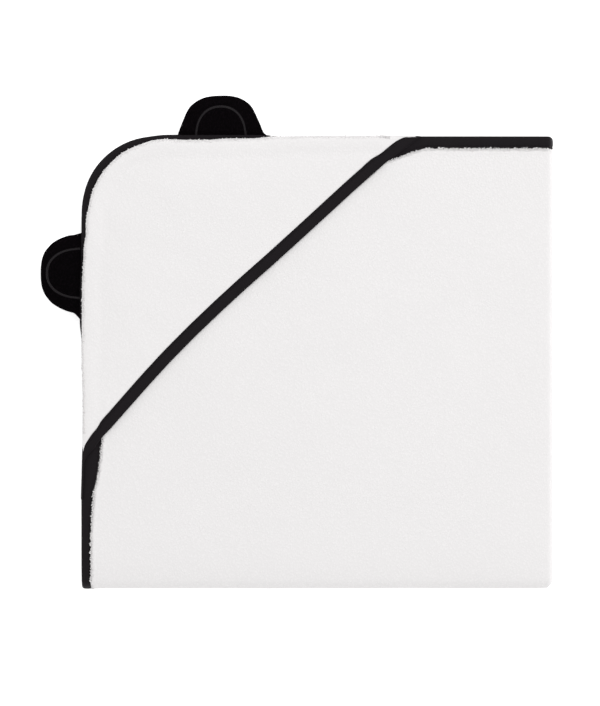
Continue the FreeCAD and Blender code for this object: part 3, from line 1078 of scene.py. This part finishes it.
class TOWEL_OT_hood_panel(bpy.types.Operator):
    """Lays the hood panel over the corner, sewn along its two legs"""

    bl_idname = "towel.hood_panel"
    bl_label = "Hood Panel"

    def execute(self, context):
        sizes = context.scene.towel_sizes
        hood = HoodPlan(sizes)
        l = np.linspace(hood.first, hood.last, 190)
        share = mix_lines((0, 0.08, 10), (0.08, 0.9, 84), (0.9, 1, 10)) ** 1.25
        l, share = np.meshgrid(l, share, indexing="ij")
        q_tape, taper = hood.tape_edge(l)
        q_out = hood.outer(l)
        q = q_out + (q_tape + 2.5 * MM - q_out) * share
        inside = hood.edge_distance(l, q)
        front = q_tape - q
        taped = 1 - ease(front, -1.2 * MM, 1.5 * MM)
        top = hood.lift(l, q)
        lumps = 0.08 * MM * waves(l, q, 6 * MM, 8.0) * (1 - taped)
        thin = 1 - TAIL_THIN * taper * (1 - ease(front, 1 * MM, 14 * MM))
        in_tape = sizes.hood_thick - sizes.tape - 0.1 * MM
        top = ((top + lumps) * (1 - taped) + in_tape * taped) * thin
        under = sizes.tape * taped * thin
        upper = hood.place(l, q, hood.rounded(inside, top))
        lower = hood.place(l, q, hood.rounded(inside, under))
        uv = np.stack([l, q], -1)
        piece = make_mesh(
            "hood_terry", np.stack([upper, lower]), sheet_faces(*l.shape), np.stack([uv, uv]))
        blend_over_bend(piece, weights_near(piece, hood))
        piece.data.materials.append(finish("white terry", context.scene.towel_colours.terry))
        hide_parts("hood_panel_rear", "hood_panel_front")
        return {"FINISHED"}


class TOWEL_OT_hood_binding(bpy.types.Operator):
    """Folds the black tape over the hood's free edge and runs it out along the seams"""

    bl_idname = "towel.hood_binding"
    bl_label = "Hood Binding"

    def execute(self, context):
        sizes = context.scene.towel_sizes
        hood = HoodPlan(sizes)
        free, across, taper = hood.rows
        travelled = travel(free)
        full = sizes.hood_tape
        seam = full - sizes.seam_inset
        half = sizes.hood_thick / 2 - sizes.tape
        section = np.array(tape_section(full, half, sizes.tape, seam))
        d, n = section[None, :, 0], section[None, :, 1]
        face = half + 0.5 * sizes.tape
        n = pulled_in(d, n, travelled, seam, sizes.stitch, 0.20 * MM, face)
        share = d / full
        p = free[:, None, :] * (1 - share[..., None]) + across[:, None, :] * share[..., None]
        l, q = hood.coordinates(X_LEFT + p[..., 0], Y_BACK - p[..., 1])
        thin = (1 - TAIL_THIN * taper)[:, None]
        down = turn_down(np.minimum(p[..., 0], p[..., 1]))
        height = (sizes.hood_thick / 2 + n) * thin + TAPE_RISE - down
        vertices = hood.place(l, q, height)
        rows, columns = height.shape
        uv = np.stack(np.broadcast_arrays(travelled[:, None], travel(section)[None, :]), -1)
        faces = list(grid_quads(rows, columns, 0, False, True))
        faces.append(np.arange(columns))
        faces.append(np.arange(columns)[::-1] + (rows - 1) * columns)
        piece = make_mesh("hood_edge_tape", vertices, faces, uv)
        blend_over_bend(piece, weights_near(piece, hood))
        piece.data.materials.append(
            finish("black woven tape", context.scene.towel_colours.tape))
        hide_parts("hood_binding")
        return {"FINISHED"}


class TOWEL_OT_hood_stitching(bpy.types.Operator):
    """Sews the tape to the hood, and the hood to the towel along its two legs"""

    bl_idname = "towel.hood_stitching"
    bl_label = "Hood Stitching"

    def execute(self, context):
        sizes, colours = context.scene.towel_sizes, context.scene.towel_colours
        hood = HoodPlan(sizes)
        shape = model_stitch(STITCH_SHARE * sizes.stitch, THREAD)
        free, across, _ = hood.rows
        share = 1 - sizes.seam_inset / sizes.hood_tape
        line = free * (1 - share) + across * share
        line = np.stack(hood.coordinates(X_LEFT + line[:, 0], Y_BACK - line[:, 1]), 1)
        where, heading = spaced(line, sizes.stitch)
        level, thin = hood.tape_level(where[:, 0], where[:, 1])
        rows = []
        for face in (1, -1):
            keep = thin > (0.3 if face > 0 else 0.9)
            count = int(keep.sum())
            lift = (level + face * (sizes.hood_thick / 2 * thin - SUNK))[keep]
            rows.append(copies(
                "seam", turned_over(shape, face), where[keep], heading[keep], lift,
                np.zeros(count), hood.place))
        tape_seam = joined("hood_tape_seam", rows)
        blend_over_bend(tape_seam, weights_near(tape_seam, hood))
        tape_seam.data.materials.append(finish("black thread", colours.thread))
        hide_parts("hood_binding_stitching")

        l = np.linspace(hood.inner_l[0], hood.inner_l[-1], 700)
        q = hood.inside_line(l, sizes.allowance + 1 * MM)
        keep = q < hood.tape_edge(l)[0] - 1.5 * MM
        where, heading = spaced(np.stack([l, q], 1)[keep], sizes.stitch)
        lift = hood.lift(where[:, 0], where[:, 1]) - 0.26 * MM
        hood_seam = copies(
            "hood_seam", shape, where, heading, lift, np.zeros(len(where)), hood.place)
        blend_over_bend(hood_seam, weights_near(hood_seam, hood))
        hood_seam.data.materials.append(finish("white thread", colours.white_thread))
        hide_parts("hood_seam_stitching")
        return {"FINISHED"}


class TOWEL_OT_hood_loops(bpy.types.Operator):
    """Adds the terry loops that stand out from the hood's outer edge"""

    bl_idname = "towel.hood_loops"
    bl_label = "Hood Loops"

    def execute(self, context):
        sizes = context.scene.towel_sizes
        hood = HoodPlan(sizes)
        shape = model_loop(sizes.loop, YARN)
        draw = np.random.default_rng(23)
        l = np.linspace(hood.last - 14 * MM, hood.first + 12 * MM, 900)
        line = np.stack([l, hood.outer(l)], 1)
        rows = []
        for inside, gap in ((0.7, 1.0), (1.4, 1.1), (2.3, 1.3)):
            where, heading = spaced(line, gap * MM)
            count = len(where)
            inward = np.stack([heading[:, 1], -heading[:, 0]], 1)
            patch = 0.35 * waves(where[:, 0], where[:, 1], 6 * MM, 9.0)
            off = np.maximum(inside + patch + draw.uniform(-0.4, 0.4, count), 0.3) * MM
            ahead = heading * draw.uniform(-0.3, 0.3, (count, 1)) * MM
            where = where + inward * off[:, None] + ahead
            a, b = where[:, 0], where[:, 1]
            lift = hood.rounded(hood.edge_distance(a, b), hood.lift(a, b)) - 0.25 * MM
            rows.append(copies(
                "loops", shape, where, heading, lift, draw.uniform(0, math.pi, count), hood.place,
                draw.uniform(0.3, 1.4, count), draw.uniform(0.5, 0.95, count)))
        piece = joined("hood_loops", rows)
        blend_over_bend(piece, weights_near(piece, hood))
        piece.data.materials.append(finish("white terry", context.scene.towel_colours.terry))
        l = np.linspace(hood.first, hood.last, 400)
        depth = hood.free(l) - hood.outer(l)
        return {"FINISHED"}


# ---- the ears ------------------------------------------------------------------------
# Outline of each ear from one end of its foot to the other, in mm: along the base from
# its middle, and out from the towel's edge. FULL is the half width and height drawn.
OUTLINES = {
    "top": ((39.2, -1.6), (38.4, 0.6), (35.8, 2.6), (34.3, 5.5), (32.4, 10.4), (30.2, 15.3),
            (28.0, 20.2), (25.1, 25.1), (22.6, 27.7), (19.4, 30.0), (14.2, 32.4), (7.2, 33.8),
            (0.0, 34.0), (-7.0, 33.6), (-13.3, 32.4), (-18.8, 30.0), (-22.4, 27.5),
            (-25.1, 25.1), (-28.3, 20.2), (-30.4, 15.3), (-32.4, 10.4), (-34.2, 5.5),
            (-35.5, 2.2), (-36.2, -1.6)),
    "left": ((39.4, -1.6), (38.2, 0.8), (35.6, 3.2), (33.2, 5.8), (31.8, 10.4), (30.0, 15.3),
             (27.5, 20.2), (24.1, 25.1), (21.5, 27.5), (18.2, 30.0), (13.0, 32.4), (6.5, 33.7),
             (0.0, 34.0), (-6.8, 33.7), (-13.4, 32.4), (-18.6, 30.0), (-21.6, 27.5),
             (-24.2, 25.1), (-27.6, 20.2), (-29.8, 15.3), (-31.4, 10.4), (-32.0, 5.5),
             (-32.9, 2.4), (-34.2, -1.6)),
}
FULL = {"top": (35.5, 34.0), "left": (33.5, 33.5)}
ARCH_POWER = 2.2            # 2 would make the stitched ring half an ellipse
VELOUR = 0.5 * MM           # thickness of an ear's front and back
TUCK = 1.6 * MM             # how far the foot is sewn in under the towel's edge
SATIN = 2.3 * MM, 0.5 * MM  # length and thickness of the ring's stitches
SATIN_GAP = 0.5 * MM        # from one of them to the next
# The pad is blown up at a size that the cloth solver takes well, from a start a little
# smaller than the finished ear, and no point may move further than the limit.
SWELL_SCALE = 10.0
SWELL_START = (0.977, 0.965, 0.72)
SWELL_FRAMES = 20
SWELL_LIMIT = 1.6 * MM
SWELL_CLOTH = {
    "quality": 6, "mass": 0.3, "tension_stiffness": 12, "compression_stiffness": 12,
    "bending_stiffness": 0.3, "use_pressure": True, "uniform_pressure_force": 4.0,
    "vertex_group_mass": "sewn"}


class EarPlan:
    """One ear, lying flat: u runs along its base and v out from the towel's edge."""

    def __init__(self, side, sizes):
        low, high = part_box(side + "_ear_front")
        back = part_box(side + "_ear_back")[0]
        self.side = side
        self.body = side + "_ear"
        self.sizes = sizes
        if side == "top":
            self.edge = Vector(((low.x + high.x) / 2 - 0.7 * MM, Y_BACK, 0))
            self.out, self.across = Vector((0, 1, 0)), Vector((1, 0, 0))
            wide, tall = (high.x - low.x) / 2, high.y - Y_BACK
        else:
            self.edge = Vector((X_LEFT, (low.y + high.y) / 2 - 0.2 * MM, 0))
            self.out, self.across = Vector((-1, 0, 0)), Vector((0, -1, 0))
            wide, tall = (high.y - low.y) / 2, X_LEFT - low.x
        # The outline as drawn, scaled to the ear's own box.
        self.wide, self.tall = wide / FULL[side][0], tall / FULL[side][1]
        self.level = (back.z + high.z) / 2
        self.seam = Z_TOP - TERRY / 2 - 0.2 * MM
        self.arch = sizes.ring_width, sizes.ring_height * (1.1 if side == "left" else 0.95)
        self.hinge = Vector(HINGES[self.body + "_fold"]["pos_m"])
        self.make_grid()

    def make_grid(self):
        """Rays from the middle of the foot to the outline, and the padding over them."""
        table = np.array(OUTLINES[self.side]) * (self.wide, self.tall)
        at = travel(table)
        fine = np.linspace(0, at[-1], 121)
        self.rim = np.stack([smooth_through(at, table[:, k], fine) for k in (0, 1)], 1)
        self.rim[:, 1] = np.maximum(self.rim[:, 1], -TUCK)
        self.share = 1 - (1 - np.linspace(0, 1, 46)) ** 1.35
        self.u = self.rim[:, :1] * self.share
        self.v = -TUCK + (self.rim[:, 1:] + TUCK) * self.share
        reach = np.hypot(self.rim[:, 0], self.rim[:, 1] + TUCK)
        self.from_rim = (1 - self.share) * reach[:, None]
        half = self.puff(self.v, self.from_rim)
        self.faces = {"front": np.stack([self.u, self.v, half], -1),
                      "back": np.stack([self.u, self.v, -half], -1)}

    def puff(self, v, rim):
        """Half thickness of the ear where its rim is a distance rim away."""
        full = np.sqrt(np.clip(1 - (1 - np.clip(rim / (9 * MM), 0, 1)) ** 2, 0, 1))
        foot = ease(v, 0.5 * MM, 9 * MM)
        return 0.5 * MM + (self.sizes.ear_puff - 0.5 * MM) * full * (0.12 + 0.88 * foot)

    def swell(self):
        """Blows the sewn pad up as cloth, and keeps where its two faces came to rest."""
        grid = self.faces["front"], self.faces["back"]
        start = np.concatenate([g.reshape(-1, 3) for g in grid])
        # The hub of the rays is left open by a hair, so that no points fall together.
        hub = np.concatenate([self.rim * 0.004, np.zeros((len(self.rim), 1))], 1)
        first = (np.arange(len(self.share)) == 0)[None, :, None]
        start = start + np.tile((first * hub[:, None, :]).reshape(-1, 3), (2, 1))
        slack = start * SWELL_START
        pad = make_mesh("pad", slack * SWELL_SCALE, sheet_faces(*self.u.shape))
        held = pad.vertex_groups.new(name="sewn")
        on_rim = np.tile(self.from_rim < 0.05 * MM, (2, 1)).ravel()
        foot = slack[:, 1] < 0.8 * MM
        held.add(np.flatnonzero(foot).tolist(), 1.0, "REPLACE")
        held.add(np.flatnonzero(on_rim & ~foot).tolist(), 0.75, "REPLACE")
        cloth = pad.modifiers.new("swell", "CLOTH")
        for key, value in SWELL_CLOTH.items():
            setattr(cloth.settings, key, value)
        cloth.settings.effector_weights.gravity = 0.0
        cloth.point_cache.frame_start, cloth.point_cache.frame_end = 1, SWELL_FRAMES
        scene = bpy.context.scene
        for frame_number in range(1, SWELL_FRAMES + 1):
            scene.frame_set(frame_number)
        rested = points_of(pad.evaluated_get(bpy.context.evaluated_depsgraph_get()).data)
        bpy.data.objects.remove(pad)
        scene.frame_set(1)
        moved = rested / SWELL_SCALE - slack
        far = np.linalg.norm(moved, axis=1)[:, None]
        moved = moved * np.minimum(1, SWELL_LIMIT / np.maximum(far, 1e-9))
        front, back = (slack + moved).reshape(2, *self.u.shape, 3)
        self.faces = {"front": front, "back": back}

    def quilt(self):
        """Draws both faces in along the stitched ring."""
        for face, sign in (("front", -1), ("back", 1)):
            points = self.faces[face]
            off = self.off_ring(points[..., 0], points[..., 1])
            foot = ease(points[..., 1], 0.5 * MM, 6 * MM)
            drawn = 0.62 * bump(off, 0, 1.7 * MM) + 0.2 * ease(-off, 0, 5 * MM)
            points[..., 2] += sign * foot * MM * drawn

    def off_ring(self, u, v):
        """Distance outside the stitched ring, which is an arch that stands on the foot."""
        a, b = self.arch
        reach = np.abs(u / a) ** ARCH_POWER + np.abs(np.maximum(v, 0) / b) ** ARCH_POWER
        reach = reach ** (1 / ARCH_POWER)
        return (reach - 1) * (a + b) / 2

    def height(self, u, v):
        """Height of the front face at a place on the flat ear."""
        heading = np.arctan2(self.rim[:, 1] + TUCK, self.rim[:, 0])
        turn = np.arctan2(v + TUCK, u)
        row = np.interp(turn, heading, np.arange(len(heading)))
        reach = np.hypot(self.rim[:, 0], self.rim[:, 1] + TUCK)
        share = np.hypot(u, v + TUCK) / np.interp(row, np.arange(len(reach)), reach)
        column = np.interp(share, self.share, np.arange(len(self.share)))
        r = np.minimum(row.astype(int), len(heading) - 2)
        c = np.minimum(column.astype(int), len(self.share) - 2)
        a, b, n = row - r, column - c, self.faces["front"][..., 2]
        low = n[r, c] * (1 - a) + n[r + 1, c] * a
        return low * (1 - b) + (n[r, c + 1] * (1 - a) + n[r + 1, c + 1] * a) * b

    def place(self, u, v, n):
        """Where a place on the flat ear lies, at a height over its middle."""
        u, v, n = np.broadcast_arrays(u, v, n)
        rise = ease(v, -1 * MM, 5 * MM)
        z = self.seam + (self.level - self.seam) * rise + n
        z = z + 0.5 * MM * waves(u, v, 30 * MM, 5.0 + self.wide) * ease(v, 4 * MM, 30 * MM)
        across, out = u[..., None] * np.array(self.across), v[..., None] * np.array(self.out)
        return np.array(self.edge) + across + out + z[..., None] * np.array([0, 0, 1.0])

    def lay(self, points):
        """Points of the flat ear, put where they lie."""
        return self.place(points[..., 0], points[..., 1], points[..., 2])

    def attach(self, piece):
        """The sewn foot stays with the towel and the rest turns with the ear."""
        start = self.hinge - self.out * 1.4 * MM
        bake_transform(piece, "upper_half", self.body, start, self.hinge + self.out * 2.0 * MM)

    def sew_on(self, piece, node_name, material):
        """Attaches a piece of the ear, and says which node it stands for."""
        self.attach(piece)
        piece.data.materials.append(material)
        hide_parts(node_name)


class TOWEL_OT_ears(bpy.types.Operator):
    """Makes the two padded ears: front, back, wadding and stitched ring"""

    bl_idname = "towel.ears"
    bl_label = "Ears"

    def execute(self, context):
        sizes, colours = context.scene.towel_sizes, context.scene.towel_colours
        shape = model_stitch(*SATIN)
        for side in ("left", "top"):
            ear = EarPlan(side, sizes)
            ear.swell()
            ear.quilt()
            front, back = ear.faces["front"], ear.faces["back"]
            middle = (front + back) / 2
            rows = ear.u.shape
            for face, points in ear.faces.items():
                away = points - middle
                thick = np.linalg.norm(away, axis=-1)[..., None]
                inner = middle + away * np.maximum(1 - VELOUR / np.maximum(thick, 1e-9), 0.04)
                piece = make_mesh(
                    f"{side}_ear_{face}_velour", np.stack([ear.lay(points), ear.lay(inner)]),
                    sheet_faces(*rows))
                ear.sew_on(
                    piece, f"{side}_ear_{face}",
                    finish("black velour", colours.velour))

            # The wadding fills what the two faces leave, and is lumpy like loose fibre.
            lumps = 0.12 * MM * waves(ear.u, ear.v, 5 * MM, 4.0)[..., None]
            fill = []
            for points in (front, back):
                away = points - middle
                thick = np.linalg.norm(away, axis=-1)[..., None]
                lumpy = lumps * np.clip(thick / MM - 0.8, 0, 1)
                left = np.maximum(thick - 0.62 * MM + lumpy, 0.01 * MM)
                fill.append(ear.lay(middle + away / np.maximum(thick, 1e-9) * left))
            piece = make_mesh(f"{side}_ear_fill", np.stack(fill), sheet_faces(*rows))
            ear.sew_on(
                piece, f"{side}_ear_wadding",
                finish("fibre wadding", colours.wadding))

            a, b = ear.arch
            turn = np.linspace(0.02, math.pi - 0.02, 400)
            c, d = np.cos(turn), np.sin(turn)
            power = 2 / ARCH_POWER
            line = np.stack([a * np.sign(c) * np.abs(c) ** power, b * d ** power], 1)
            where, heading = spaced(line, SATIN_GAP)
            count = len(where)
            piece = copies(
                f"{side}_ear_arch", shape, where, heading, np.full(count, -0.08 * MM),
                np.full(count, math.pi / 2),
                lambda u, v, h: ear.place(u, v, ear.height(u, v) + h))
            ear.sew_on(
                piece, f"{side}_ear_ring_stitching",
                finish("satin stitch", colours.ring))
        return {"FINISHED"}


# ---- the stage -----------------------------------------------------------------------
class TOWEL_OT_stage(bpy.types.Operator):
    """Sets the pale floor, the soft lights and the camera straight above"""

    bl_idname = "towel.stage"
    bl_label = "Stage"

    def execute(self, context):
        scene = context.scene
        scene.view_settings.view_transform = "Standard"
        colours = scene.towel_colours
        start_shape()
        bpy.ops.mesh.primitive_plane_add(size=8.0, location=(0, 0, 0))
        floor = context.active_object
        floor.name = "backdrop"
        material = bpy.data.materials.new("backdrop")
        material.use_nodes = True
        shader = material.node_tree.nodes["Principled BSDF"]
        for label, value in (
                ("Base Color", (*colours.floor, 1.0)), ("Roughness", 0.9),
                ("Specular IOR Level", 0.0), ("Emission Color", (1.0, 1.0, 1.0, 1.0)),
                ("Emission Strength", 0.6)):
            shader.inputs[label].default_value = value
        floor.data.materials.append(material)

        world = bpy.data.worlds.new("studio")
        world.use_nodes = True
        background = world.node_tree.nodes["Background"]
        background.inputs["Color"].default_value = (1.0, 1.0, 1.0, 1.0)
        background.inputs["Strength"].default_value = 0.76
        scene.world = world

        light = bpy.data.lights.new("key", "AREA")
        light.shape = "SQUARE"
        light.size = 2.4
        light.energy = 80.0
        key = bpy.data.objects.new("key", light)
        key.location = (1.25, 1.7, 3.7)
        key.rotation_euler = (-key.location).to_track_quat("-Z", "Y").to_euler()
        scene.collection.objects.link(key)

        camera_data = bpy.data.cameras.new("camera")
        camera_data.lens = 100.0
        camera_data.clip_end = 30.0
        camera = bpy.data.objects.new("camera", camera_data)
        view_height = 0.5732        # how much the camera's longer side takes in, in metres
        distance = camera_data.lens / camera_data.sensor_width * view_height
        camera.location = (-14.5 * MM, 8.1 * MM, 0.6 * Z_TOP + distance)
        scene.collection.objects.link(camera)
        scene.camera = camera
        return {"FINISHED"}


class TOWEL_PT_panel(bpy.types.Panel):
    """Lists the pieces of the towel"""

    bl_idname = "TOWEL_PT_panel"
    bl_label = "Hooded Baby Towel"
    bl_space_type = "VIEW_3D"
    bl_region_type = "UI"
    bl_category = "Towel"

    def draw(self, context):
        for operator in OPERATORS:
            self.layout.operator(operator.bl_idname)
        for group in (context.scene.towel_sizes, context.scene.towel_colours):
            for name in group.__annotations__:
                self.layout.prop(group, name)


OPERATORS = (
    TOWEL_OT_terry,
    TOWEL_OT_edge_binding,
    TOWEL_OT_edge_stitching,
    TOWEL_OT_edge_loops,
    TOWEL_OT_hood_panel,
    TOWEL_OT_hood_binding,
    TOWEL_OT_hood_stitching,
    TOWEL_OT_hood_loops,
    TOWEL_OT_ears,
    TOWEL_OT_stage,
)
CLASSES = (TowelSizes, TowelColours, *OPERATORS, TOWEL_PT_panel)


def register():
    """Makes the classes known, and gives the scene its sizes and colours."""
    for cls in CLASSES:
        bpy.utils.register_class(cls)
    bpy.types.Scene.towel_sizes = bpy.props.PointerProperty(type=TowelSizes)
    bpy.types.Scene.towel_colours = bpy.props.PointerProperty(type=TowelColours)


def unregister():
    """Takes back what register did."""
    del bpy.types.Scene.towel_sizes
    del bpy.types.Scene.towel_colours
    for cls in reversed(CLASSES):
        bpy.utils.unregister_class(cls)


def main():
    """Builds every piece and the stage."""
    register()
    bpy.ops.towel.terry()
    bpy.ops.towel.edge_binding()
    bpy.ops.towel.edge_stitching()
    bpy.ops.towel.edge_loops()
    bpy.ops.towel.hood_panel()
    bpy.ops.towel.hood_binding()
    bpy.ops.towel.hood_stitching()
    bpy.ops.towel.hood_loops()
    bpy.ops.towel.ears()
    bpy.ops.towel.stage()


if __name__ == "__main__":
    main()
